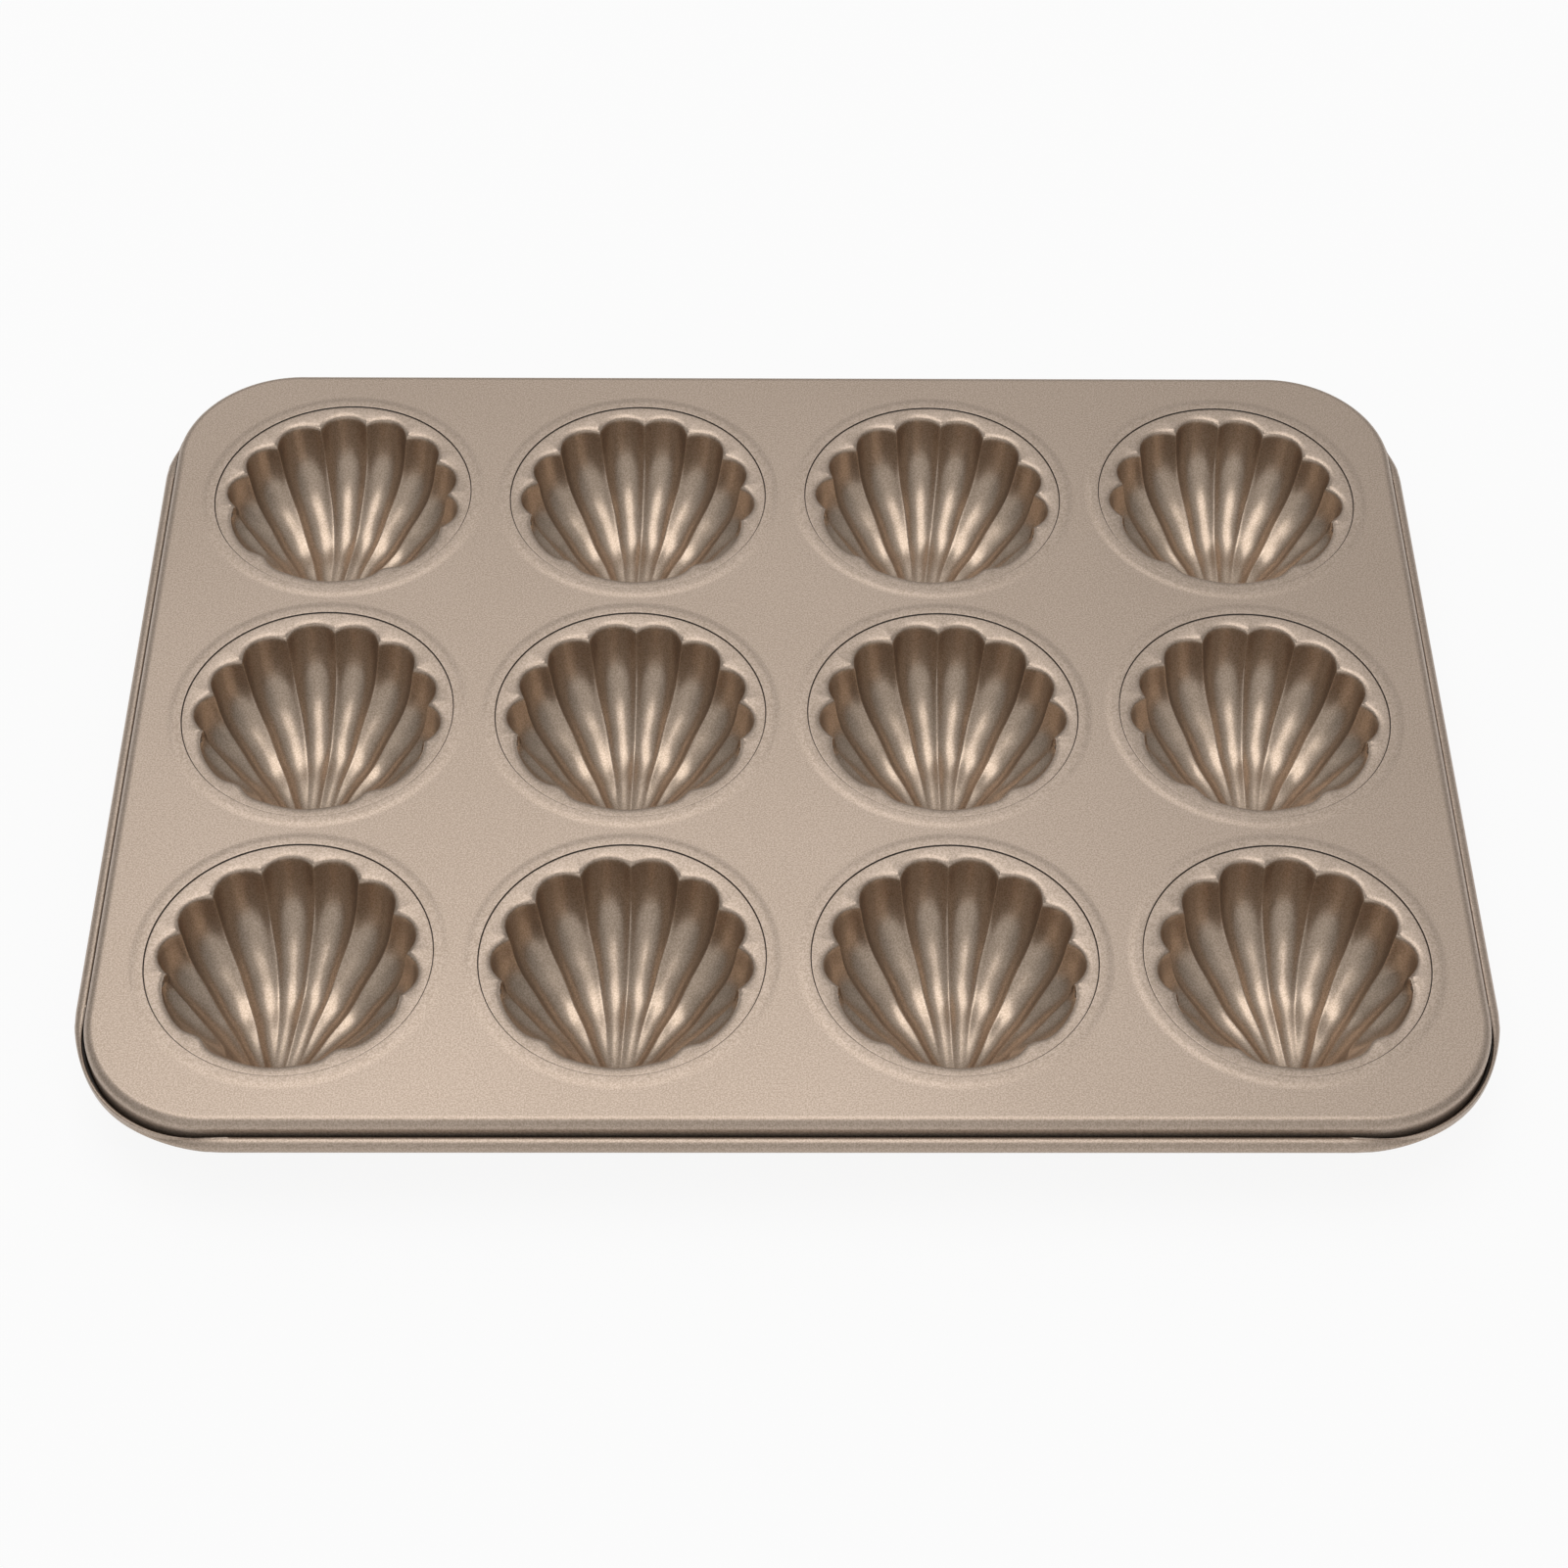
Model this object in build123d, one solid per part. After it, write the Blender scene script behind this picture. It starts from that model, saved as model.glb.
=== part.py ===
from build123d import *

import os
from math import atan2, radians, tan

# Twelve-cup madeleine pan, in millimetres: length along X, width along Y, +Z up.
# Each shell cup is a pressing of its own, seated in a tapered hole of the top plate.
# The origin is under the middle of the pan, on the surface that the cups stand on.

# Layout of the cups, with the flat strips of plate that are left between them and at the edges
columns = 4
row_names = ["front", "middle", "back"]
column_gap = 3.1
row_gap = 1.4
end_border = 7.15
side_border = 8.4
# How far each cup was turned when it was set in its hole, in degrees, front row first
cup_turns = [
    [-6.5, -2.5, 0.8, 4.7],
    [-3.6, -1.4, 0.1, -2.6],
    [-7.9, -2.1, -6.9, -1.7],
]

# Top plate
plate_sheet = 0.8
plate_corner = 31.0
# Round each hole the plate rises in a low cone, and the hole tapers downwards to hold the cup
hole_taper = 0.8
collar_width = 3.9
collar_rise = 0.45

# Rim of the plate: a bevel, a skirt and a curl that turns out and up again
bevel = 1.5
bevel_angle = 45.0
skirt_height = 4.6
curl_bore = 1.3
curl_angle = 285.0
curl_facets = 8
# At the corners the curl stays open, with a lip that stands beside the skirt
corner_bore = 0.5
corner_lip = 2.3
corner_facets = 3

# Flats that make up each round hole and flange
round_sides = 36

# Shell cup
cup_sheet = 0.8
seat_clearance = 0.15
flange_drop = 0.1
foot_flat = 0.3
bowl_depth = 26.0
shell_radius = 33.0
flange_width = 2.6
flute_facets = 3
# Creases between the flutes, from the middle of the shell to its side edge. Places in plan are
# shares of shell_radius and depths are shares of bowl_depth.
crease_hinge_shares = [(0, -0.995), (0.105, -0.985), (0.205, -0.965), (0.3, -0.935), (0.385, -0.9), (0.44, -0.865)]
crease_rim_shares = [(0, 0.894), (0.373, 0.773), (0.688, 0.509), (0.855, 0.152), (0.868, -0.235), (0.88, -0.33)]
# Between its ends a crease passes the foot of the hinge wall, the floor and the bend of the far wall
crease_floor_shares = [
    ((0, -0.72, 0.9), (0, 0.15, 0.955), (0, 0.65, 0.645)),
    ((0.07, -0.715, 0.9), (0.182, 0.1, 0.955), (0.298, 0.56, 0.645)),
    ((0.125, -0.7, 0.84), (0.36, -0.03, 0.885), (0.56, 0.34, 0.6)),
    ((0.21, -0.7, 0.75), (0.5, -0.22, 0.785), (0.715, 0.022, 0.54)),
    ((0.34, -0.735, 0.47), (0.61, -0.425, 0.48), (0.775, -0.305, 0.33)),
]
# The last crease is the side edge, which stays level with the flange and bows outwards
side_edge_shares = [(0.6, -0.745, 0), (0.74, -0.615, 0), (0.835, -0.47, 0)]
# How far a flute is hollowed at each station, as a share of its own width
hollow_shares = [0.04, 0.15, 0.18, 0.24, 0.34]

bevel_drop = bevel * tan(radians(bevel_angle))
hole_radius = shell_radius + flange_width
collar_radius = hole_radius + collar_width
column_pitch = 2 * collar_radius + column_gap
row_pitch = 2 * collar_radius + row_gap
flat_length = (columns - 1) * column_pitch + 2 * (collar_radius + end_border)
flat_width = (len(row_names) - 1) * row_pitch + 2 * (collar_radius + side_border)
hole_slope = hole_taper / (plate_sheet + collar_rise)
flange_level = bowl_depth + cup_sheet - foot_flat
plate_level = flange_level + flange_drop - collar_rise
cup_places = {
    f"{row_name}_{column + 1}": Pos(
        (column - (columns - 1) / 2) * column_pitch,
        (row - (len(row_names) - 1) / 2) * row_pitch,
        plate_level,
    )
    * Rot(0, 0, cup_turns[row][column])
    for row, row_name in enumerate(row_names)
    for column in range(columns)
}


def ring_points(radius, level):
    """Corners of a many-sided ring about the Z axis, with the first one repeated at the end."""
    start = Vector(radius, 0, level)
    return [start.rotate(Axis.Z, 360 * step / round_sides) for step in range(round_sides + 1)]


def ring_panels(*rings):
    """Flat faces that join each ring of points to the next."""
    faces = []
    for near, far in zip(rings, rings[1:]):
        for corners in zip(near, near[1:], far[1:], far):
            faces.append(Face(Wire.make_polygon(corners)))
    return faces


def closed_loop(points):
    """Closed outline through points, of which the last may repeat the first."""
    return Wire.make_polygon(points, close=points[0] != points[-1])


def skirt_start(depth):
    """Underside of the rim from the curl up to the flat plate, and its top side back down to the curl."""
    inner_edge = plate_sheet * tan(radians(bevel_angle) / 2)
    inner_knee = plate_sheet * tan(radians(90 - bevel_angle) / 2)
    return [
        (bevel - plate_sheet, -depth),
        (bevel - plate_sheet, -bevel_drop - inner_knee),
        (-inner_edge, -plate_sheet),
        (0, 0),
        (bevel, -bevel_drop),
        (bevel, -depth),
    ]


def turned_profile(bore, angle, facets, lip, depth):
    """Section of the rim outwards from the flat plate's edge, with its curl and a lip that ends it."""
    centre = (bevel + bore, -depth)
    inner = CenterArc(centre, bore, 180, angle)
    outer = CenterArc(centre, bore + plate_sheet, 180, angle)
    inside = [inner @ (step / facets) for step in range(1, facets + 1)]
    outside = [outer @ (step / facets) for step in range(1, facets + 1)]
    rise = [Vector(0, lip)] if lip else []
    points = skirt_start(depth) + inside
    points += [inside[-1] + step for step in rise] + [outside[-1] + step for step in rise]
    points += reversed(outside)
    return make_face(Polyline(*points, close=True))


def rim():
    """Rolled rim all round: two long sides, two short sides and four corners."""
    depth = bevel_drop + skirt_height
    curl = turned_profile(curl_bore, curl_angle, curl_facets, 0, depth)
    corner_depth = depth + curl_bore - corner_bore
    corner_curl = turned_profile(corner_bore, 180, corner_facets, corner_lip, corner_depth)
    straight_x = flat_length - 2 * plate_corner
    straight_y = flat_width - 2 * plate_corner
    back_plane = Plane((-straight_x / 2, flat_width / 2, plate_level), x_dir=(0, 1, 0), z_dir=(1, 0, 0))
    back = extrude(back_plane * curl, amount=straight_x)
    right_plane = Plane((flat_length / 2, straight_y / 2, plate_level), x_dir=(1, 0, 0), z_dir=(0, -1, 0))
    right = extrude(right_plane * curl, amount=straight_y)
    corner_axis = Axis((straight_x / 2, straight_y / 2, 0), (0, 0, 1))
    corner = revolve(right_plane * corner_curl, corner_axis, 90)
    half = back + corner + mirror(corner, Plane.YZ)
    return half + mirror(half, Plane.XZ) + right + mirror(right, Plane.YZ)


def plate_sheet_solid():
    """Flat sheet of the plate, with a low collar and a tapered hole for each cup."""
    foot = ring_points(collar_radius, 0)
    brim = ring_points(hole_radius, collar_rise)
    throat = ring_points(hole_radius - hole_taper, -plate_sheet)
    upper = Pos(0, 0, plate_level) * RectangleRounded(flat_length, flat_width, plate_corner)
    lower = Pos(0, 0, -plate_sheet) * upper
    faces = [
        Face(upper.wire(), [place * closed_loop(foot) for place in cup_places.values()]),
        Face(lower.wire(), [place * closed_loop(throat) for place in cup_places.values()]),
    ]
    faces += [Face.extrude(edge, (0, 0, -plate_sheet)) for edge in upper.edges()]
    collar = ring_panels(foot, brim, throat)
    faces += [place * panel for place in cup_places.values() for panel in collar]
    return Solid(Shell(faces))


def crease_line(crease):
    """One crease of the cup's inner skin, from the hinge down over the floor and up to the rim."""
    floor = [*crease_floor_shares, side_edge_shares][crease]
    return [
        Vector(*crease_hinge_shares[crease]) * shell_radius,
        *[Vector(x * shell_radius, y * shell_radius, -depth * bowl_depth) for x, y, depth in floor],
        Vector(*crease_rim_shares[crease]) * shell_radius,
    ]


def flute_arc(left, right, along, station):
    """Arc across a flute: level at the hinge and the rim, and square to the floor between them."""
    chord = right - left
    if station == 0:
        outward = Vector(chord.Y, -chord.X, 0)
    elif station == len(hollow_shares) - 1:
        outward = Vector(-chord.Y, chord.X, 0)
    else:
        outward = along.cross(chord)
    peak = (left + right) * 0.5 + outward.normalized() * (chord.length * hollow_shares[station])
    return ThreePointArc(left, peak, right)


def inner_skin():
    """Lines of points along the cup's inner skin, from its left edge to its right edge."""
    creases = [crease_line(crease) for crease in range(len(crease_hinge_shares))]
    stations = range(len(hollow_shares))
    lines = [creases[0]]
    for left, right in zip(creases, creases[1:]):
        arcs = []
        for station in stations:
            ahead = min(station + 1, len(hollow_shares) - 1)
            behind = max(station - 1, 0)
            along = left[ahead] + right[ahead] - left[behind] - right[behind]
            arcs.append(flute_arc(left[station], right[station], along, station))
        for step in range(1, flute_facets):
            lines.append([arc @ (step / flute_facets) for arc in arcs])
        lines.append(right)
    other_side = [[Vector(-point.X, point.Y, point.Z) for point in line] for line in lines[:0:-1]]
    return other_side + lines


def below_flange(edge, neighbour):
    """Point of the outer skin under a point of the inner skin's edge, for a wall of even thickness."""
    run = Vector(edge.X - neighbour.X, edge.Y - neighbour.Y, 0)
    half_slope = atan2(edge.Z - neighbour.Z, run.length) / 2
    return edge + run.normalized() * (cup_sheet * tan(half_slope)) - Vector(0, 0, cup_sheet)


def outer_skin(lines):
    """The inner skin moved out by the thickness of the sheet, with its edge under the flange."""
    last_line = len(lines) - 1
    last = len(lines[0]) - 1
    moved = []
    for place, line in enumerate(lines):
        new = [below_flange(line[0], line[1])]
        for station in range(1, last):
            if place in (0, last_line):
                inward = lines[1 if place == 0 else last_line - 1]
                new.append(below_flange(line[station], inward[station]))
            else:
                along = line[station + 1] - line[station - 1]
                across = lines[place + 1][station] - lines[place - 1][station]
                new.append(line[station] + along.cross(across).normalized() * cup_sheet)
        new.append(below_flange(line[last], line[last - 1]))
        moved.append(new)
    return moved


def skin_panels(lines):
    """Flat three-cornered faces of a fluted skin."""
    faces = []
    for left, right in zip(lines, lines[1:]):
        for station in range(len(left) - 1):
            near_left, far_left = left[station : station + 2]
            near_right, far_right = right[station : station + 2]
            faces.append(Face(Wire.make_polygon([near_left, near_right, far_right])))
            faces.append(Face(Wire.make_polygon([near_left, far_right, far_left])))
    return faces


def skin_edge(lines):
    """Outline of the opening that a fluted skin has at the flange."""
    hinge_end = [line[0] for line in lines]
    rim_end = [line[-1] for line in reversed(lines)]
    return closed_loop([*hinge_end, *lines[-1][1:-1], *rim_end, *lines[0][-2:0:-1]])


def shell_cup():
    """Pressed shell with its round flange, whose tapered edge seats in the plate's hole."""
    top_radius = hole_radius - hole_slope * flange_drop - seat_clearance
    upper = ring_points(top_radius, 0)
    lower = ring_points(top_radius - hole_slope * cup_sheet, -cup_sheet)
    inner = inner_skin()
    outer = outer_skin(inner)
    faces = skin_panels(inner) + skin_panels(outer) + ring_panels(upper, lower)
    faces.append(Face(closed_loop(upper), [skin_edge(inner)]))
    faces.append(Face(closed_loop(lower), [skin_edge(outer)]))
    return split(Solid(Shell(faces)), bisect_by=Plane((0, 0, -flange_level)), keep=Keep.TOP)


os.makedirs("parts", exist_ok=True)
export_step(plate_sheet_solid() + rim(), "parts/top_plate.step")
cup = shell_cup()
for name, place in cup_places.items():
    export_step(place * Pos(0, 0, flange_level - plate_level) * cup, f"parts/shell_cup_{name}.step")
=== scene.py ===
from math import cos, pi, radians, sin, tan

import bpy
import numpy as np
from mathutils import Matrix, Vector
from mathutils.geometry import delaunay_2d_cdt


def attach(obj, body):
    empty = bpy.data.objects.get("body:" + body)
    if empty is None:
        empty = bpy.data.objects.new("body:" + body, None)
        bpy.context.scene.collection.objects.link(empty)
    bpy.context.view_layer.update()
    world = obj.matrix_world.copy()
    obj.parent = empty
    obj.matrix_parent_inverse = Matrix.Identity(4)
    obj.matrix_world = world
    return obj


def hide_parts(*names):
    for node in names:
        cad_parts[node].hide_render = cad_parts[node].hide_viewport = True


# A twelve-cup madeleine pan: shell cups pressed from thin steel and set into a flat plate with a
# rolled edge, all under a champagne non-stick coating. Sizes are in millimetres unless a line says
# otherwise, and mm turns them into Blender's metres.
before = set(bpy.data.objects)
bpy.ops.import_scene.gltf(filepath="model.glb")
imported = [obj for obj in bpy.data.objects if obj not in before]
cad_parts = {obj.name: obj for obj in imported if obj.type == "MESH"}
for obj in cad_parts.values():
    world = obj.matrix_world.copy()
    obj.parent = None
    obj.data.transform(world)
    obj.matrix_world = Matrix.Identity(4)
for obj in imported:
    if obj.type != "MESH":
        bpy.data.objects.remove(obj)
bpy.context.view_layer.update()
mm = 0.001


# --- The view ---------------------------------------------------------------------------------
# The pan is seen from the front and well above, with a long lens, as solved from the photograph's
# own perspective.
lens_mm = 73.02
sensor_mm = 36.0
look_down = radians(49.996)
look_aside = radians(-0.893)
look_tilt = radians(0.765)
eye = Vector((-9.08, -551.86, 654.72)) * mm

view_data = bpy.data.cameras.new("view")
view_data.lens = lens_mm
view_data.sensor_width = sensor_mm
view = bpy.data.objects.new("view", view_data)
turn = Matrix.Rotation(look_aside, 3, "Z")
ahead = turn @ Vector((0, cos(look_down), -sin(look_down)))
rise = turn @ Vector((0, sin(look_down), cos(look_down)))
across = turn @ Vector((1, 0, 0))
right = across * cos(look_tilt) + rise * sin(look_tilt)
up = rise * cos(look_tilt) - across * sin(look_tilt)
view.matrix_world = Matrix.Translation(eye) @ Matrix((right, up, -ahead)).transposed().to_4x4()
bpy.context.scene.collection.objects.link(view)
bpy.context.scene.camera = view


# --- The top plate ----------------------------------------------------------------------------
# One sheet of carbon steel, 0.8 mm thick. Twelve holes are punched in it, each with a low collar
# pressed up round it, and its edge is bent down and rolled outwards into a bead all round.
sheet = 0.8
plate_level = 26.43
flat_half = (169.8, 128.3)
corner_radius = 31.0
pitch = (82.1, 80.4)
columns, rows = 4, 3


def mesh_object(name, points, faces, edges=()):
    """An object of its own from points in millimetres."""
    mesh = bpy.data.meshes.new(name)
    mesh.from_pydata((np.asarray(points, float) * mm).tolist(), list(edges), [list(face) for face in faces])
    mesh.update()
    made = bpy.data.objects.new(name, mesh)
    bpy.context.scene.collection.objects.link(made)
    return made


# The edge's path runs round the flat part of the plate, closer-set where it turns. At the corners
# the sheet can't be rolled fully, so the bead opens there into a lip that stands beside the skirt.
corner_steps = 36
run_up = [9.0, 7.5, 6.0, 4.5, 3.0, 1.5]
run_step = 12.0
bead_arc_radius = 41.0
bead_arc_start = 5.0


def opened(along):
    """How far the bead has opened, 0 on the straight sides and 1 at the middle of a corner.

    along is the angle into the corner in radians, or minus the distance before it in millimetres."""
    closed_reach, open_reach = bead_reach
    if along < 0:
        gap = max(bead_arc_start + along, 0)
        reach = corner_radius + closed_reach - bead_arc_radius + (bead_arc_radius**2 - gap**2) ** 0.5
    else:
        lean = bead_arc_start * (cos(along) + sin(along))
        reach = (bead_arc_radius**2 - 2 * bead_arc_start**2 + lean**2) ** 0.5 - lean
    middle = bead_arc_start * 2**0.5
    innermost = bead_arc_radius - middle
    return min(max((corner_radius + closed_reach - reach) / (corner_radius + closed_reach - innermost), 0), 1)


bevel = 1.5
skirt = 4.89
bead_bore, bead_turn = 1.3, radians(285)
lip_bore, lip_turn, lip_height = 0.5, radians(180), 2.3
bead_reach = (bevel + 2 * bead_bore + sheet, bevel + 2 * lip_bore + sheet)
path, outward, opening = [], [], []
straight_half = [half - corner_radius for half in flat_half]
for quarter in range(4):
    start_angle = quarter * pi / 2
    corner = Vector((straight_half[0] * (1, -1, -1, 1)[quarter], straight_half[1] * (1, 1, -1, -1)[quarter]))
    before = Vector((sin(start_angle), -cos(start_angle)))
    after = Vector((sin(start_angle + pi / 2), -cos(start_angle + pi / 2)))
    stations = [(start_angle, before * gap, opened(-gap)) for gap in run_up]
    for step in range(corner_steps + 1):
        angle = step / corner_steps * pi / 2
        stations.append((start_angle + angle, Vector((0, 0)), opened(min(angle, pi / 2 - angle))))
    stations += [(start_angle + pi / 2, -after * gap, opened(-gap)) for gap in reversed(run_up)]
    side = 2 * straight_half[quarter % 2] - 2 * run_up[0]
    for step in range(1, int(side / run_step)):
        gap = run_up[0] + side * step / int(side / run_step)
        stations.append((start_angle + pi / 2, -after * gap, 0.0))
    for angle, slide, share in stations:
        direction = Vector((cos(angle), sin(angle)))
        path.append((*(corner + slide + direction * corner_radius), plate_level))
        outward.append((*direction, 0))
        opening.append(share)


def arc(centre, radius, start, turn, steps):
    """Points of an arc, counter-clockwise."""
    return [
        (centre[0] + radius * cos(start + turn * step / steps), centre[1] + radius * sin(start + turn * step / steps))
        for step in range(steps + 1)
    ]


def edge_section(bore, turn, lip):
    """Closed section of the rolled edge, outwards from the flat sheet's border and back under it."""
    bottom = bevel + skirt + bead_bore
    centre = (bevel + bore, -bottom + bore)
    soft = 2.3
    knee = soft * tan(pi / 8)
    inner = sheet * tan(pi / 8)
    upper = [(-border, 0), (-border + 0.25, 0)]
    upper += arc((-knee, -soft), soft, pi / 2, -pi / 4, 5)
    upper += arc((bevel - soft, -bevel - knee), soft, pi / 4, -pi / 4, 5)
    upper += [(bevel, -bevel - knee - (bottom - bore - bevel - knee) * share) for share in (0.35, 0.7)]
    upper += arc(centre, bore, pi, turn, 22)
    lower = arc(centre, bore + sheet, pi, turn, 22)
    tangent = (-sin(pi + turn), cos(pi + turn))
    rise = [(tangent[0] * lip * share, tangent[1] * lip * share) for share in (0.33, 0.66, 0.93)]
    upper += [(upper[-1][0] + x, upper[-1][1] + y) for x, y in rise]
    lip_outside = [(lower[-1][0] + x, lower[-1][1] + y) for x, y in reversed(rise)]
    middle = ((upper[-1][0] + lip_outside[0][0]) / 2, (upper[-1][1] + lip_outside[0][1]) / 2)
    nose = [(middle[0] + tangent[0] * 0.16, middle[1] + tangent[1] * 0.16)]
    under = lip_outside + lower[::-1]
    under += [(bevel - sheet, -bevel - inner - (bottom - bore - bevel - inner) * share) for share in (0.7, 0.35, 0)]
    under += [(-inner, -sheet), (-border + 0.25, -sheet), (-border, -sheet)]
    return upper + nose + under


border = 1.4


def link(tree, kind, settings=None, **inputs):
    """A node of this kind, its settings set, and its inputs given a value or linked."""
    node = tree.nodes.new(kind)
    for name, value in (settings or {}).items():
        setattr(node, name, value)
    for name, value in inputs.items():
        key = int(name[1:]) if name[0] == "_" and name[1:].isdigit() else name.replace("_", " ")
        socket = node.inputs[key]
        if isinstance(value, bpy.types.NodeSocket):
            tree.links.new(value, socket)
        else:
            socket.default_value = value
    return node


def geometry_tree(name, inputs):
    """An empty Geometry Nodes tree with named inputs, after the geometry itself."""
    tree = bpy.data.node_groups.new(name, "GeometryNodeTree")
    tree.interface.new_socket("Geometry", in_out="INPUT", socket_type="NodeSocketGeometry")
    for label, kind in inputs:
        tree.interface.new_socket(label, in_out="INPUT", socket_type=kind)
    tree.interface.new_socket("Geometry", in_out="OUTPUT", socket_type="NodeSocketGeometry")
    return tree, tree.nodes.new("NodeGroupInput").outputs


def grown(source, tree, name, values):
    """The plain mesh object that the tree makes of source with these values for its inputs."""
    modifier = source.modifiers.new(name, "NODES")
    modifier.node_group = tree
    for item in tree.interface.items_tree:
        if item.item_type == "SOCKET" and item.in_out == "INPUT" and item.name in values:
            modifier[item.identifier] = values[item.name]
    source.update_tag()
    evaluated = source.evaluated_get(bpy.context.evaluated_depsgraph_get())
    mesh = bpy.data.meshes.new_from_object(evaluated)
    mesh.name = name
    source.modifiers.remove(modifier)
    made = bpy.data.objects.new(name, mesh)
    bpy.context.scene.collection.objects.link(made)
    return made


def store(made, name, kind, values, domain="POINT"):
    """A named attribute on the points or faces of a mesh."""
    attribute = made.data.attributes.new(name, kind, domain)
    attribute.data.foreach_set("vector" if kind == "FLOAT_VECTOR" else "value", np.ravel(values).astype(np.float32))


# The rolled edge is a sweep: the section goes round the path, and each point of it moves from its
# place in the closed bead to its place in the open lip as the path's "opening" says.
tree, given = geometry_tree(
    "rolled edge",
    [("Path", "NodeSocketObject"), ("Bead", "NodeSocketObject"), ("Lip", "NodeSocketObject")],
)
way = link(tree, "GeometryNodeObjectInfo", Object=given["Path"]).outputs["Geometry"]
bead = link(tree, "GeometryNodeObjectInfo", Object=given["Bead"]).outputs["Geometry"]
lip = link(tree, "GeometryNodeObjectInfo", Object=given["Lip"]).outputs["Geometry"]
way_count = link(tree, "GeometryNodeAttributeDomainSize", Geometry=way).outputs["Point Count"]
section_count = link(tree, "GeometryNodeAttributeDomainSize", Geometry=bead).outputs["Point Count"]
closed_count = link(tree, "FunctionNodeIntegerMath", {"operation": "ADD"}, _0=way_count, _1=1).outputs[0]
grid = link(tree, "GeometryNodeMeshGrid", Vertices_X=closed_count, Vertices_Y=section_count).outputs["Mesh"]
index = link(tree, "GeometryNodeInputIndex").outputs[0]
step_on = link(tree, "FunctionNodeIntegerMath", {"operation": "DIVIDE_FLOOR"}, _0=index, _1=section_count).outputs[0]
station = link(tree, "FunctionNodeIntegerMath", {"operation": "MODULO"}, _0=step_on, _1=way_count).outputs[0]
place = link(tree, "FunctionNodeIntegerMath", {"operation": "MODULO"}, _0=index, _1=section_count).outputs[0]
position = link(tree, "GeometryNodeInputPosition").outputs[0]


def sampled(geometry, kind, value, at):
    """A value read from one point of another geometry."""
    return link(
        tree, "GeometryNodeSampleIndex", {"data_type": kind}, Geometry=geometry, Value=value, Index=at
    ).outputs["Value"]


def named(kind, name):
    """A named attribute as a field."""
    return link(tree, "GeometryNodeInputNamedAttribute", {"data_type": kind}, Name=name).outputs["Attribute"]


start = sampled(way, "FLOAT_VECTOR", position, station)
side = sampled(way, "FLOAT_VECTOR", named("FLOAT_VECTOR", "outward"), station)
share = sampled(way, "FLOAT", named("FLOAT", "opening"), station)
rolled = link(tree, "ShaderNodeSeparateXYZ", _0=sampled(bead, "FLOAT_VECTOR", position, place))
stood = link(tree, "ShaderNodeSeparateXYZ", _0=sampled(lip, "FLOAT_VECTOR", position, place))
reach = link(tree, "ShaderNodeMix", _0=share, _2=rolled.outputs["X"], _3=stood.outputs["X"]).outputs[0]
height = link(tree, "ShaderNodeMix", _0=share, _2=rolled.outputs["Z"], _3=stood.outputs["Z"]).outputs[0]
level = link(tree, "ShaderNodeCombineXYZ", Z=height).outputs[0]
out = link(tree, "ShaderNodeVectorMath", {"operation": "SCALE"}, _0=side, Scale=reach).outputs[0]
moved = link(tree, "ShaderNodeVectorMath", {"operation": "ADD"}, _0=start, _1=out).outputs[0]
moved = link(tree, "ShaderNodeVectorMath", {"operation": "ADD"}, _0=moved, _1=level).outputs[0]
swept = link(tree, "GeometryNodeSetPosition", Geometry=grid, Position=moved).outputs[0]
# The painted shade inside the curl goes from its section onto the swept faces.
curl_painted_shade = sampled(bead, "FLOAT", named("FLOAT", "joint"), place)
curl_painted_shade = link(tree, "GeometryNodeFieldOnDomain", {"data_type": "FLOAT", "domain": "POINT"}, Value=curl_painted_shade).outputs[0]
swept = link(
    tree, "GeometryNodeStoreNamedAttribute", {"data_type": "FLOAT", "domain": "FACE"},
    Geometry=swept, Name="joint", Value=curl_painted_shade,
).outputs[0]
joined = link(tree, "GeometryNodeMergeByDistance", Geometry=swept, Distance=0.001 * mm).outputs[0]
tree.links.new(joined, tree.nodes.new("NodeGroupOutput").inputs[0])

path_points = mesh_object("edge_path", path, [])
store(path_points, "outward", "FLOAT_VECTOR", outward)
store(path_points, "opening", "FLOAT", opening)
bead_section = mesh_object("bead_section", [(x, 0, z) for x, z in edge_section(bead_bore, bead_turn, 0)], [])
# Painted shade: the points inside the curl, where shade falls in its gap, are marked to be drawn near black.
store(bead_section, "joint", "FLOAT", [17 <= number <= 35 for number in range(len(bead_section.data.vertices))])
lip_section = mesh_object("lip_section", [(x, 0, z) for x, z in edge_section(lip_bore, lip_turn, lip_height)], [])
carrier = mesh_object("carrier", [(0, 0, 0)], [])
edge = grown(carrier, tree, "rolled_edge", {"Path": path_points, "Bead": bead_section, "Lip": lip_section})


# Each collar is turned about its hole: a smooth swell up to the seam, the seam's edge, the tapered
# wall that holds the cup, and the underside.
collar_sides = 128
collar_foot = 39.9
hole_radius = 35.6
throat_radius = 34.8
collar_rise = 0.14


def swell(radius):
    """Height of the collar's top at this distance from the middle of its hole."""
    share = min(max((39.6 - radius) / 2.4, 0), 1)
    return collar_rise * share * share * (3 - 2 * share)


collar_line = [(collar_foot, 0)] + [(radius, swell(radius)) for radius in np.linspace(39.7, 37.2, 12)]
collar_line += [(36.2, collar_rise), (35.75, collar_rise), (35.67, collar_rise - 0.01), (35.62, collar_rise - 0.05)]
collar_line += [(35.59, 0), (throat_radius, -sheet), (36.5, -sheet), (collar_foot, -sheet)]


def turned(line, sides):
    """Points and faces of a line of (radius, height) turned about the Z axis."""
    points = [
        (radius * cos(2 * pi * side / sides), radius * sin(2 * pi * side / sides), height)
        for radius, height in line
        for side in range(sides)
    ]
    faces = [
        (row * sides + side, row * sides + (side + 1) % sides, (row + 1) * sides + (side + 1) % sides, (row + 1) * sides + side)
        for row in range(len(line) - 1)
        for side in range(sides)
    ]
    return points, faces


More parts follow.
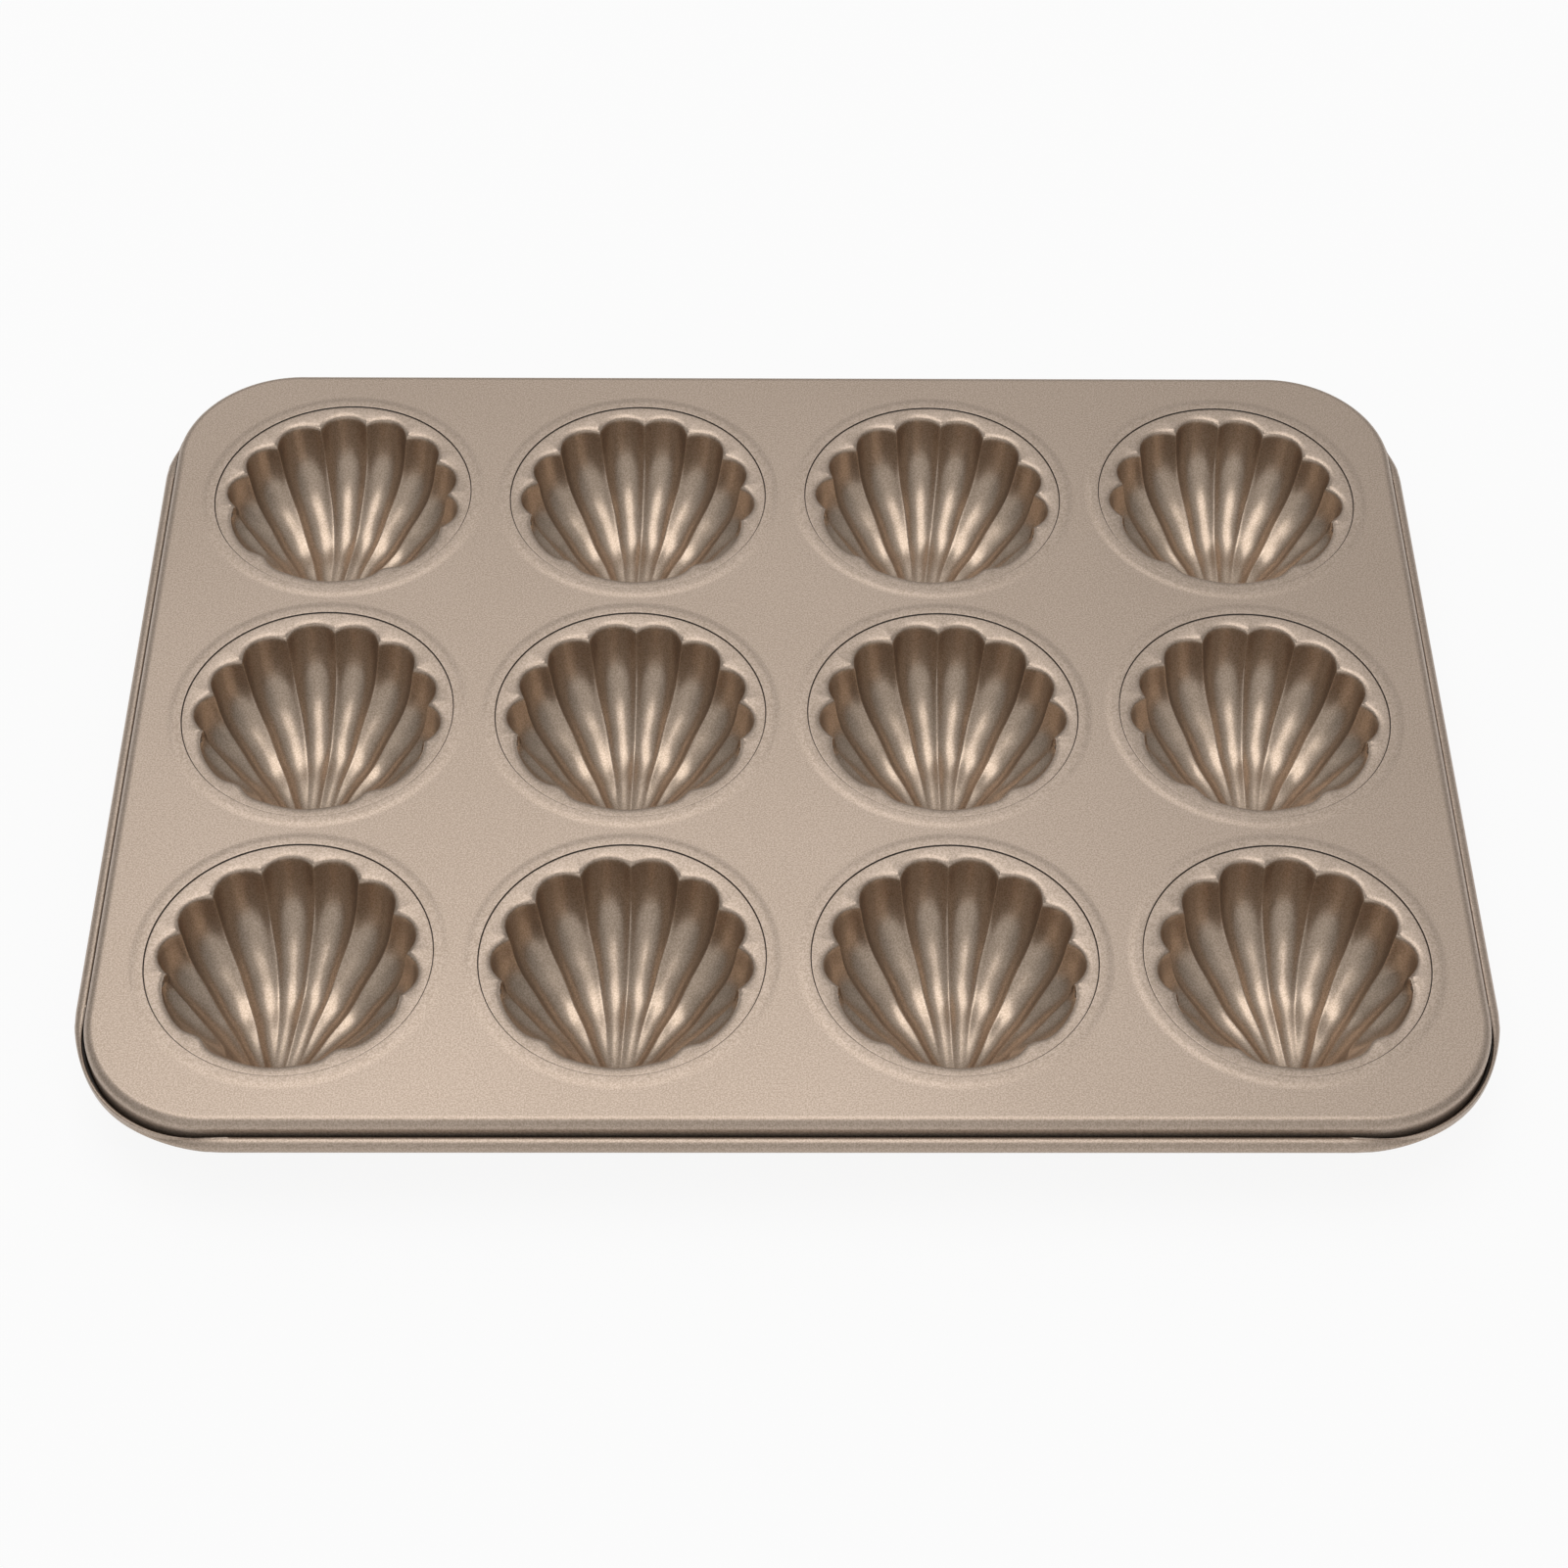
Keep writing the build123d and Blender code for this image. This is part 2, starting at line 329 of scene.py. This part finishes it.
collar = mesh_object("collar", *turned([(radius, height + plate_level) for radius, height in collar_line], collar_sides))
# The hole's wall is drawn near black: partly its bare cut edge, partly painted shade in the seam.
dark_edge_and_shade_faces = [(radius + line_end) / 2 < 35.7 and height < collar_rise - 0.005
            for (radius, height), (line_end, _) in zip(collar_line, collar_line[1:])]
dark_edge_and_shade_faces[-2:] = [False, False]
store(collar, "joint", "FLOAT", np.repeat(dark_edge_and_shade_faces, collar_sides), "FACE")
centres = [
    ((column - (columns - 1) / 2) * pitch[0], (row - (rows - 1) / 2) * pitch[1])
    for row in range(rows)
    for column in range(columns)
]
hole_centres = mesh_object("hole_centres", [(x, y, 0) for x, y in centres], [])


def filled(outline, holes, inside_hole):
    """Flat triangles between an outline and the loops of its holes."""
    loops = [outline, *holes]
    points = [Vector(point) for loop in loops for point in loop]
    edges, first = [], 0
    for loop in loops:
        edges += [(first + step, first + (step + 1) % len(loop)) for step in range(len(loop))]
        first += len(loop)
    made, _, faces, origin, _, _ = delaunay_2d_cdt(points, edges, [], 0, 1e-7)
    kept = []
    for face in faces:
        middle = sum((made[corner] for corner in face), Vector((0, 0))) / len(face)
        if not inside_hole(middle):
            kept.append(tuple(face))
    return [tuple(point) for point in made], kept


outline = [
    (x - direction[0] * border, y - direction[1] * border) for (x, y, _), direction in zip(path, outward)
]
rings = [
    [(x + collar_foot * cos(2 * pi * side / collar_sides), y + collar_foot * sin(2 * pi * side / collar_sides))
     for side in range(collar_sides)]
    for x, y in centres
]
flat_points, flat_faces = filled(
    outline, rings, lambda middle: any((middle - Vector(centre)).length < collar_foot * 0.9995 for centre in centres)
)
levels = (plate_level, plate_level - sheet)
sheet_points = [(x, y, level) for level in levels for x, y in flat_points]
sheet_faces = flat_faces + [tuple(corner + len(flat_points) for corner in reversed(face)) for face in flat_faces]
flat_sheet = mesh_object("flat_sheet", sheet_points, sheet_faces)

# The plate is joined from its flat sheet, the twelve collars and the rolled edge.
tree, given = geometry_tree(
    "plate",
    [("Collar", "NodeSocketObject"), ("Centres", "NodeSocketObject"), ("Edge", "NodeSocketObject"),
     ("Coating", "NodeSocketMaterial")],
)
collar_shape = link(tree, "GeometryNodeObjectInfo", Object=given["Collar"]).outputs["Geometry"]
spots = link(tree, "GeometryNodeObjectInfo", Object=given["Centres"]).outputs["Geometry"]
edge_shape = link(tree, "GeometryNodeObjectInfo", Object=given["Edge"]).outputs["Geometry"]
collars = link(tree, "GeometryNodeInstanceOnPoints", Points=spots, Instance=collar_shape).outputs[0]
joined = link(tree, "GeometryNodeJoinGeometry")
for part in (given["Geometry"], edge_shape, collars):
    tree.links.new(part, joined.inputs[0])
real = link(tree, "GeometryNodeRealizeInstances", Geometry=joined.outputs[0]).outputs[0]
merged = link(tree, "GeometryNodeMergeByDistance", Geometry=real, Distance=0.002 * mm).outputs[0]
coated = link(tree, "GeometryNodeSetMaterial", Geometry=merged, Material=given["Coating"]).outputs[0]
tree.links.new(coated, tree.nodes.new("NodeGroupOutput").inputs[0])


def linear(code):
    """Linear colour of an sRGB hex value."""
    parts = [int(code[place:place + 2], 16) / 255 for place in (1, 3, 5)]
    return (*[part / 12.92 if part <= 0.04045 else ((part + 0.055) / 1.055) ** 2.4 for part in parts], 1)


# Champagne non-stick coating, sprayed on steel and baked: a pigmented film full of fine metal
# flake. It reads as satin metal with a soft broad gloss, and up close as a fine sparkling grain. Where
# a die has pressed the sheet it shines more. At the seams the colour goes near black as bare cut edge
# and painted shade, and inside the curl as painted shade alone.
flake_mm = 0.4
cloud_mm = 70.0


def coating(name, light="#bfad9e", dark="#a29181"):
    """The coating, between a lighter and a darker tone of its flake."""
    made = bpy.data.materials.new(name)
    made.use_nodes = True
    tree = made.node_tree
    shader = tree.nodes["Principled BSDF"]
    where = link(tree, "ShaderNodeTexCoord").outputs["Object"]
    flake = link(tree, "ShaderNodeTexNoise", Vector=where, Scale=1 / (flake_mm * mm), Detail=2.0, Roughness=0.6)
    cloud = link(tree, "ShaderNodeTexNoise", Vector=where, Scale=1 / (cloud_mm * mm), Detail=1.0)
    tone = link(tree, "ShaderNodeMapRange", _0=flake.outputs["Fac"], _1=0.35, _2=0.65, _3=-0.2, _4=1.05).outputs[0]
    drift = link(tree, "ShaderNodeMapRange", _0=cloud.outputs["Fac"], _1=0.35, _2=0.65, _3=0.0, _4=0.15).outputs[0]
    share = link(tree, "ShaderNodeMath", {"operation": "ADD"}, _0=tone, _1=drift).outputs[0]
    colour = link(tree, "ShaderNodeMix", {"data_type": "RGBA"}, _0=share, _6=linear(dark), _7=linear(light)).outputs[2]
    pressed = link(tree, "ShaderNodeAttribute", {"attribute_name": "pressed"}).outputs["Fac"]
    warm = link(
        tree, "ShaderNodeMix", {"data_type": "RGBA", "blend_type": "MULTIPLY"},
        _0=pressed, _6=colour, _7=(1.0, 0.985, 0.95, 1),
    )
    colour = warm.outputs[2]
    # Painted shade: the seams and the inside of the curl turn near black and lose their metal.
    joint = link(tree, "ShaderNodeAttribute", {"attribute_name": "joint"}).outputs["Fac"]
    colour = link(tree, "ShaderNodeMix", {"data_type": "RGBA"}, _0=joint, _6=colour, _7=linear("#30271f")).outputs[2]
    tree.links.new(colour, shader.inputs["Base Color"])
    metal = link(tree, "ShaderNodeMapRange", _0=pressed, _3=0.75, _4=0.92).outputs[0]
    metal = link(tree, "ShaderNodeMapRange", _0=joint, _3=metal, _4=0.0).outputs[0]
    tree.links.new(metal, shader.inputs["Metallic"])
    rough = link(tree, "ShaderNodeMapRange", _0=pressed, _3=0.38, _4=0.31).outputs[0]
    tree.links.new(rough, shader.inputs["Roughness"])
    depth = link(tree, "ShaderNodeMapRange", _0=pressed, _3=0.5, _4=0.1).outputs[0]
    grain = link(tree, "ShaderNodeBump", Strength=depth, Distance=0.02 * mm, Height=flake.outputs["Fac"])
    tree.links.new(grain.outputs[0], shader.inputs["Normal"])
    return made


plate_coating = coating("champagne non-stick coating on flat steel")
plate = grown(
    flat_sheet, tree, "coated_top_plate",
    {"Collar": collar, "Centres": hole_centres, "Edge": edge, "Coating": plate_coating},
)
for helper in (path_points, bead_section, lip_section, carrier, edge, collar, hole_centres, flat_sheet):
    bpy.data.objects.remove(helper)


def face_outwards(made):
    """Point every face of a closed mesh outwards and shade it smooth."""
    import bmesh
    shape = bmesh.new()
    shape.from_mesh(made.data)
    bmesh.ops.recalc_face_normals(shape, faces=shape.faces)
    for face in shape.faces:
        face.smooth = True
    shape.to_mesh(made.data)
    shape.free()


face_outwards(plate)
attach(plate, "root")
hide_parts("top_plate")


# --- The shell cups ---------------------------------------------------------------------------
# Each cup is pressed from thin steel: ten flutes fan out from the hinge over a spoon-shaped floor
# and end in round lobes, and a flat flange round them seats in its hole. No two cups sit turned
# quite alike.
flange_level = 26.25
flange_radius = 35.43
flange_foot = 34.87
# Creases between the flutes, from the middle of the shell to its side. Each runs from the hinge down
# its wall, over the floor and up the far wall to the rim; the last is the level side edge.
crease_points = [
    [(0, -32.7, 0), (0, -28.6, -12), (0, -23.9, -21.9), (0, -18.5, -24.6), (0, -10, -25.5), (0, -1.6, -25.4),
     (0, 6.9, -25), (0, 15.4, -20.8), (0, 21.1, -17.1), (0, 25, -12.8), (0, 29, 0)],
    [(3.4, -32.4, 0), (3, -28.3, -12), (2.4, -23.6, -21.9), (2.6, -18.9, -24.6), (3.6, -10.9, -25.7), (4.7, -3, -25.6),
     (6.2, 4.9, -25.1), (8, 12.8, -20.9), (9.6, 17.9, -17.2), (10.8, 21.5, -12.9), (12.2, 25.2, 0)],
    [(6.7, -31.7, 0), (5.4, -27.6, -11), (4, -23.2, -20.3), (3.8, -20.1, -22.5), (6.5, -13.3, -23.6), (9.3, -6.5, -23.4),
     (12.4, 0.1, -23.1), (15.8, 6.6, -19.2), (18.4, 10.7, -15.8), (20.4, 13.6, -11.8), (22.5, 16.5, 0)],
    [(9.9, -30.8, 0), (8, -27.2, -10), (6.5, -23.7, -18), (6.7, -21.3, -20.1), (9.7, -16.2, -20.9), (13.2, -11.3, -20.8),
     (17, -6.6, -20.5), (21, -2.1, -17.1), (23.8, 0.8, -14), (25.9, 2.7, -10.5), (27.9, 4.9, 0)],
    [(12.6, -29.9, 0), (11.8, -26.8, -7), (11.9, -23.5, -11), (12.8, -20.9, -12.2), (15, -18, -12.7), (17.5, -15.4, -12.7),
     (20.1, -13, -12.5), (23.1, -10.9, -10.4), (25.2, -9.6, -8.5), (26.9, -8.8, -6.4), (28.2, -7.9, 0)],
    [(14.4, -28.5, 0), (15.6, -26.9, 0), (16.7, -25.4, 0), (18.4, -24.8, 0), (20.7, -24.2, 0), (23.2, -22.3, 0),
     (25.5, -19.4, 0), (27.2, -16.4, 0), (28.1, -14, 0), (28.6, -12, 0), (28.5, -9.6, 0)],
]
# How far a flute is hollowed beside each of those points, as a share of its own width
hollow_shares = [0.02, 0.035, 0.06, 0.1, 0.14, 0.17, 0.18, 0.22, 0.26, 0.3, 0.34]
floor_share = 0.962
flute_steps = [0, 0.02, 0.045, 0.09, 0.16, 0.26, 0.38, 0.5, 0.62, 0.74, 0.84, 0.91, 0.955, 0.98]
row_count = 80


def spline_through(knots, values, places):
    """Values at these places on a smooth curve through the knots."""
    knots, values, places = (np.asarray(given, float) for given in (knots, values, places))
    values = values.reshape(len(knots), -1)
    steps = np.diff(knots)
    slopes = np.diff(values, axis=0) / steps[:, None]
    system = np.eye(len(knots))
    for knot in range(1, len(knots) - 1):
        system[knot, knot - 1:knot + 2] = steps[knot - 1], 2 * (steps[knot - 1] + steps[knot]), steps[knot]
    bends = np.zeros_like(values)
    bends[1:-1] = 6 * np.diff(slopes, axis=0)
    bends = np.linalg.solve(system, bends)
    span = np.clip(np.searchsorted(knots, places, side="right") - 1, 0, len(steps) - 1)
    gap, step = (places - knots[span])[:, None], steps[span][:, None]
    lean = slopes[span] - step * (2 * bends[span] + bends[span + 1]) / 6
    return values[span] + gap * lean + gap**2 * bends[span] / 2 + gap**3 * (bends[span + 1] - bends[span]) / (6 * step)


middle_steps = np.linalg.norm(np.diff(np.array(crease_points[0], float), axis=0), axis=1)
knots = np.concatenate([[0], np.cumsum(middle_steps)]) / middle_steps.sum()
even = np.linspace(0, 1, row_count + 1)
along_shares = 0.5 * even + 0.5 * (0.5 - 0.5 * np.cos(pi * even))
creases = []
for number in range(-5, 6):
    points = np.array(crease_points[abs(number)], float)
    points *= (-1 if number < 0 else 1, 1, floor_share)
    creases.append(spline_through(knots, points, along_shares))
hollows = spline_through(knots, hollow_shares, along_shares)[:, 0]
lines = []
for left, right in zip(creases, creases[1:]):
    chord = right - left
    width = np.linalg.norm(chord, axis=1)[:, None]
    along = np.gradient((left + right) / 2, axis=0)
    square = np.cross(along, chord)
    square /= np.linalg.norm(square, axis=1)[:, None]
    level_out = np.column_stack([chord[:, 1], -chord[:, 0], np.zeros(len(chord))])
    level_out /= np.linalg.norm(level_out, axis=1)[:, None]
    for share in flute_steps:
        line = []
        for row, s in enumerate(along_shares):
            hollow = hollows[row]
            radius = (1 + 4 * hollow**2) / (8 * hollow)
            half = np.arcsin(0.5 / radius)
            angle = half * (2 * share - 1)
            over, out = 0.5 + radius * np.sin(angle), radius * np.cos(angle) - (radius - hollow)
            end_hinge = max(0, 1 - s / 0.1)
            end_rim = max(0, 1 - (1 - s) / 0.12)
            direction = square[row] * (1 - end_hinge - end_rim) + level_out[row] * (end_hinge - end_rim)
            direction /= np.linalg.norm(direction)
            line.append(left[row] + chord[row] * over + direction * width[row] * out)
        lines.append(line)
lines.append(list(creases[-1]))
skin = np.array(lines).transpose(1, 0, 2)
skin[:, :, 2] = np.minimum(skin[:, :, 2], 0)
row_total, line_total = skin.shape[:2]

# The margin of the flange round the bowl, in rings that fan out from the middle of the shell
heart = np.array([0, -2.0, 0])
margin_steps = [0.3, 0.6, 0.95, 1.3, 1.7]


def border_places():
    """Places of the skin's border, counter-clockwise from the left end of the hinge."""
    places = [(0, line) for line in range(line_total)]
    places += [(row, line_total - 1) for row in range(1, row_total - 1)]
    places += [(row_total - 1, line) for line in range(line_total - 1, -1, -1)]
    places += [(row, 0) for row in range(row_total - 2, 0, -1)]
    return places


border_loop = border_places()
border_points = np.array([skin[place] for place in border_loop])
fan = border_points - heart
fan[:, 2] = 0
fan /= np.linalg.norm(fan, axis=1)[:, None]
margin = np.array([border_points + fan * step for step in margin_steps])
loop_place = {place: number for number, place in enumerate(border_loop)}


# Points and faces of the skin with its margin
top_points = np.vstack([skin.reshape(-1, 3), margin.reshape(-1, 3)])
loop_total = len(border_loop)
skin_total = row_total * line_total


def ring_point(ring, place):
    """Number of a point on a ring round the bowl, of which ring 0 is the skin's own border."""
    place %= loop_total
    if ring == 0:
        row, line = border_loop[place]
        return row * line_total + line
    return skin_total + (ring - 1) * loop_total + place


top_faces = [
    (row * line_total + line, row * line_total + line + 1, (row + 1) * line_total + line + 1, (row + 1) * line_total + line)
    for row in range(row_total - 1)
    for line in range(line_total - 1)
]
top_faces += [
    (ring_point(ring, place), ring_point(ring + 1, place), ring_point(ring + 1, place + 1), ring_point(ring, place + 1))
    for ring in range(len(margin_steps))
    for place in range(loop_total)
]


def areas_and_normals(points):
    """Area round each point of the skin and its margin, and its unit normal."""
    corners = points[np.array(top_faces)]
    facing = np.cross(corners[:, 2] - corners[:, 0], corners[:, 3] - corners[:, 1]) / 2
    total = np.zeros_like(points)
    for corner in range(4):
        np.add.at(total, np.array(top_faces)[:, corner], facing / 4)
    areas = np.linalg.norm(total, axis=1)
    return areas, total / areas[:, None]


def rounded_off(points, reach):
    """The skin with its creases and edges rounded: each point moves to the middle of its surroundings."""
    areas = areas_and_normals(points)[0]
    soft = points.copy()
    for first in range(0, len(points), 400):
        some = slice(first, first + 400)
        gaps = ((points[some, None] - points[None]) ** 2).sum(2)
        weights = np.exp(-gaps / (2 * reach[some, None] ** 2)) * areas
        soft[some] = weights @ points / weights.sum(1)[:, None]
    return points + (soft - points) * loose[:, None]


# Pressing rounds the creases a little and the rim of the bowl more. The outside of the sheet can't
# follow the creases as closely, so it is set off square to a rounder skin.
crest_reach, rim_reach, rim_fade = 0.4, 1.05, 1.8
outside_reach = 0.9
loose = np.concatenate([np.ones(skin_total), np.repeat([1, 1, 0.9, 0.5, 0], loop_total)])
reach = crest_reach + (rim_reach - crest_reach) * np.exp(top_points[:, 2] / rim_fade)
top_points = rounded_off(top_points, reach)
squares = areas_and_normals(rounded_off(top_points, np.full(len(top_points), outside_reach)))[1]
under_points = top_points - squares * sheet
under_points[:, 2] = np.clip(under_points[:, 2], -flange_level, -sheet)
under_points[-loop_total:] = top_points[-loop_total:] - (0, 0, sheet)

# The flange: flat out to the seam on both sides, and a tapered edge between them
edge_line = [(35.2, 0), (35.36, 0), (35.4, -0.01), (35.42, -0.03), (flange_radius, -0.08)]
edge_line += [(flange_foot + 0.04, -0.72), (flange_foot - 0.04, -sheet), (flange_foot - 0.2, -sheet)]
edge_points, edge_faces = turned(edge_line, collar_sides)


def flange_fill(points, circle_radius):
    """Flat triangles between the outermost ring round the bowl and a circle."""
    loop = [tuple(points[ring_point(len(margin_steps), place)][:2]) for place in range(loop_total)]
    circle = [
        (circle_radius * cos(2 * pi * side / collar_sides), circle_radius * sin(2 * pi * side / collar_sides))
        for side in range(collar_sides)
    ]
    corners = np.array(loop)

    def inside(middle):
        a, b = corners, np.roll(corners, -1, 0)
        crossing = (a[:, 1] > middle[1]) != (b[:, 1] > middle[1])
        with np.errstate(divide="ignore", invalid="ignore"):
            reach = (b[:, 0] - a[:, 0]) * (middle[1] - a[:, 1]) / (b[:, 1] - a[:, 1]) + a[:, 0]
        return np.count_nonzero(crossing & (middle[0] < reach)) % 2 == 1

    return filled(circle, [loop], inside)


cup_points, cup_faces = [], []


def add_shape(points, faces):
    """Add a shape's points and faces to the cup."""
    first = len(cup_points)
    cup_points.extend(tuple(point) for point in points)
    cup_faces.extend(tuple(first + corner for corner in face) for face in faces)


add_shape(top_points, top_faces)
add_shape(under_points, [face[::-1] for face in top_faces])
add_shape(edge_points, edge_faces)
fill_points, fill_faces = flange_fill(top_points, edge_line[0][0])
add_shape([(x, y, 0) for x, y in fill_points], fill_faces)
fill_points, fill_faces = flange_fill(under_points, edge_line[-1][0])
add_shape([(x, y, -sheet) for x, y in fill_points], [face[::-1] for face in fill_faces])
pressed_cup = mesh_object("pressed_cup", [(x, y, z + flange_level) for x, y, z in cup_points], cup_faces)
edge_first = 2 * len(top_faces)
# The flange's tapered edge is drawn near black: partly its bare cut edge, partly painted shade in the seam.
dark_edge_and_shade_faces = np.zeros(len(cup_faces))
dark_edge_and_shade_faces[edge_first + 3 * collar_sides:edge_first + 6 * collar_sides] = 1
store(pressed_cup, "joint", "FLOAT", dark_edge_and_shade_faces, "FACE")
drop = np.concatenate([-top_points[:, 2], -sheet - under_points[:, 2]])
pressed = np.zeros(len(cup_points))
pressed[:len(drop)] = np.clip(drop / 1.2, 0, 1)
store(pressed_cup, "pressed", "FLOAT", pressed)

# Setting a cup: it is turned about its own middle and put down in its hole
tree, given = geometry_tree(
    "set a cup", [("Place", "NodeSocketVector"), ("Turn", "NodeSocketFloat"), ("Coating", "NodeSocketMaterial")]
)
whole_cup = link(tree, "GeometryNodeMergeByDistance", Geometry=given["Geometry"], Distance=0.0005 * mm).outputs[0]
spot = link(tree, "GeometryNodePoints", Count=1, Position=given["Place"]).outputs[0]
twist = link(tree, "ShaderNodeCombineXYZ", Z=given["Turn"]).outputs[0]
rotation = link(tree, "FunctionNodeEulerToRotation", _0=twist).outputs[0]
cup = link(tree, "GeometryNodeInstanceOnPoints", Points=spot, Instance=whole_cup, Rotation=rotation).outputs[0]
cup = link(tree, "GeometryNodeRealizeInstances", Geometry=cup).outputs[0]
cup = link(tree, "GeometryNodeSetMaterial", Geometry=cup, Material=given["Coating"]).outputs[0]
tree.links.new(cup, tree.nodes.new("NodeGroupOutput").inputs[0])

cup_coating = coating("champagne non-stick coating on pressed cups")
row_names = ["front", "middle", "back"]
cup_turns = [
    [-6.5, -2.5, 0.8, 4.7],
    [-3.6, -1.4, 0.1, -2.6],
    [-7.9, -2.1, -6.9, -1.7],
]
for number, (x, y) in enumerate(centres):
    row, column = divmod(number, columns)
    name = f"{row_names[row]}_{column + 1}"
    cup = grown(
        pressed_cup, tree, f"fluted_cup_{name}",
        {"Place": (x * mm, y * mm, 0), "Turn": radians(cup_turns[row][column]), "Coating": cup_coating},
    )
    face_outwards(cup)
    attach(cup, "root")
    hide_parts(f"shell_cup_{name}")
bpy.data.objects.remove(pressed_cup)


# --- The floor and the light ------------------------------------------------------------------
# A plain white floor that keeps the pan's soft shadow, a wide soft box overhead, and a dim studio.
floor_half = 3000.0
floor = mesh_object(
    "floor", [(-floor_half, -floor_half, 0), (floor_half, -floor_half, 0), (floor_half, floor_half, 0), (-floor_half, floor_half, 0)],
    [(0, 1, 2, 3)],
)
white = bpy.data.materials.new("white floor")
white.use_nodes = True
tree = white.node_tree
shader = tree.nodes["Principled BSDF"]
shader.inputs["Base Color"].default_value = linear("#e6e6e6")
shader.inputs["Roughness"].default_value = 0.9
ray = link(tree, "ShaderNodeLightPath").outputs
seen = link(tree, "ShaderNodeMath", {"operation": "MAXIMUM"}, _0=ray["Is Camera Ray"], _1=ray["Is Glossy Ray"]).outputs[0]
seen = link(tree, "ShaderNodeMath", {"operation": "MAXIMUM"}, _0=seen, _1=ray["Is Transmission Ray"]).outputs[0]
glow = link(tree, "ShaderNodeEmission", Color=(1, 1, 1, 1), Strength=1.0).outputs[0]
faded = link(tree, "ShaderNodeMath", {"operation": "MULTIPLY"}, _0=seen, _1=0.9).outputs[0]
mixed = link(tree, "ShaderNodeMixShader", _0=faded, _1=shader.outputs[0], _2=glow).outputs[0]
tree.links.new(mixed, tree.nodes["Material Output"].inputs["Surface"])
floor.data.materials.append(white)

world = bpy.data.worlds.new("studio")
world.use_nodes = True
bpy.context.scene.world = world
tree = world.node_tree
background = tree.nodes["Background"]
background.inputs["Color"].default_value = (1, 1, 1, 1)
# The studio is brightest round the soft box and dim towards the horizon
lean_back = radians(20)
toward_light = (0, sin(lean_back), cos(lean_back))
direction = link(tree, "ShaderNodeTexCoord").outputs["Generated"]
near_light = link(tree, "ShaderNodeVectorMath", {"operation": "DOT_PRODUCT"}, _0=direction, _1=toward_light)
glow = link(
    tree, "ShaderNodeMapRange", {"interpolation_type": "SMOOTHSTEP"},
    _0=near_light.outputs["Value"], _1=0.4, _2=1.05, _3=0.33, _4=0.66,
).outputs[0]
low_front = link(tree, "ShaderNodeVectorMath", {"operation": "DOT_PRODUCT"}, _0=direction, _1=(0, -0.96, 0.28))
low_glow = link(
    tree, "ShaderNodeMapRange", {"interpolation_type": "SMOOTHSTEP"},
    _0=low_front.outputs["Value"], _1=0.3, _2=1.0, _3=0.0, _4=0.42,
).outputs[0]
glow = link(tree, "ShaderNodeMath", {"operation": "ADD"}, _0=glow, _1=low_glow).outputs[0]
tree.links.new(glow, background.inputs["Strength"])

softbox_data = bpy.data.lights.new("softbox", "AREA")
softbox_data.shape = "RECTANGLE"
softbox_data.size = 2.0
softbox_data.size_y = 3.0
softbox_data.energy = 34
softbox = bpy.data.objects.new("softbox", softbox_data)
softbox.location = (-0.25, 0.6, 3)
softbox.rotation_euler = Vector(softbox.location).to_track_quat("Z", "Y").to_euler()
bpy.context.scene.collection.objects.link(softbox)

bpy.context.scene.view_settings.view_transform = "Standard"
